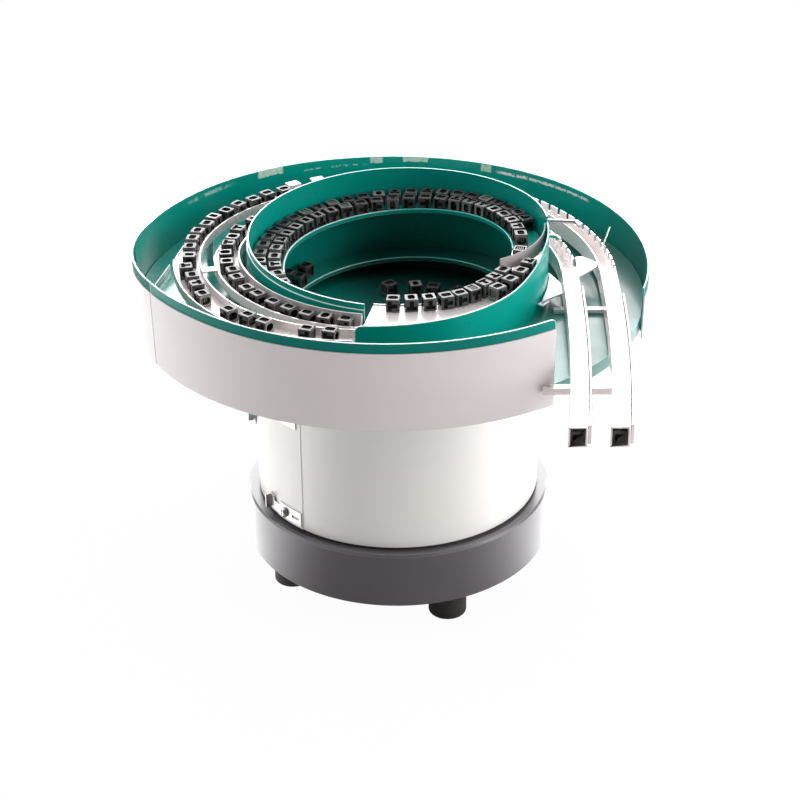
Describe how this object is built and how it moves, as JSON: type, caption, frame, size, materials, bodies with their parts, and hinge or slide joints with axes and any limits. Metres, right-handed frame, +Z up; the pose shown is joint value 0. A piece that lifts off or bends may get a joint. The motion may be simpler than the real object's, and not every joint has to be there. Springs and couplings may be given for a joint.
{
  "type": "vibratory bowl feeder",
  "caption": "Tabletop vibratory bowl feeder: spiral sheet bowl and return pan on a round spring drive, with helical track and curved lanes ending in straight square chutes.",
  "frame": {"origin": "on the floor, on the axis of the round base, at the centre of the four foot holes", "axes": "+Z up along the base axis, the straight chutes run out toward -Y on the +X side"},
  "size_m": [0.4095, 0.4667, 0.308],
  "materials": {
    "base_paint": "satin grey paint",
    "foot_rubber": "matt",
    "gasket_rubber": "matt",
    "plated_steel": "zinc plated",
    "black_bolt": "blackened",
    "block_steel": "machined",
    "gland_plastic": "fine grain",
    "skirt_white": "satin",
    "spring_laminate": "glass-fibre laminate",
    "core_iron": "laminated",
    "coil_winding": "varnished",
    "green_paint": "gloss coating",
    "shell_white": "satin",
    "lane_metal": "bright, fine brushed",
    "workpiece_black": "fine grain"
  },
  "bodies": {
    "base": {"base_casting": "base_paint", "rubber_feet": "foot_rubber", "foot_studs": "plated_steel", "cable_gland": "gland_plastic", "skirt_gasket": "gasket_rubber", "skirt": "skirt_white", "skirt_lap": "skirt_white", "skirt_clamps": "plated_steel", "skirt_screws": "plated_steel", "spring_blocks_lower": "block_steel", "spring_clamps_lower": "plated_steel", "spring_bolts_lower": "black_bolt", "leaf_springs": "spring_laminate", "magnet_bracket": "block_steel", "magnet_core": "core_iron", "magnet_coil": "coil_winding"},
    "bowl": {"armature": "core_iron", "top_plate": "block_steel", "spring_blocks_upper": "block_steel", "spring_clamps_upper": "plated_steel", "spring_bolts_upper": "black_bolt", "centre_bolt": "plated_steel", "bowl_floor": "green_paint", "bowl_shell": "green_paint", "bowl_wall": "green_paint", "front_wall": "green_paint", "lower_track": "green_paint", "upper_track": "green_paint", "track_plate": "lane_metal", "deflector": "lane_metal", "pan_floor": "green_paint", "pan_wall_rear": "green_paint", "pan_wall_front": "green_paint", "outer_shell_rear": "shell_white", "outer_shell_front": "shell_white", "pan_gussets": "green_paint", "floor_seam_strip": "lane_metal", "inner_lane": "lane_metal", "outer_lane": "lane_metal", "chute_covers": "lane_metal", "chute_side_rails": "lane_metal", "rail_pins": "plated_steel", "lane_posts": "lane_metal", "lane_bridge": "lane_metal", "lane_hangers": "lane_metal", "lane_gusset": "lane_metal", "lane_filler": "lane_metal", "filler_bracket": "lane_metal", "bar_upper": "lane_metal", "bar_lower": "lane_metal", "wiper_rods": "plated_steel", "lane_pin": "plated_steel", "workpieces_track": "workpiece_black", "workpieces_plate": "workpiece_black", "workpieces_inner_lane": "workpiece_black", "workpieces_outer_lane": "workpiece_black", "workpieces_chutes": "workpiece_black", "workpieces_floor": "workpiece_black"}
  },
  "joints": [
    {"name": "bowl_twist", "type": "hinge", "parent": "base", "child": "bowl", "pos_m": [0, 0, 0.21], "axis": [0, 0, 1], "range_deg": [-0.6, 0.6], "stiffness_Nm_per_rad": 1500, "deforming": ["leaf_springs"]}
  ]
}
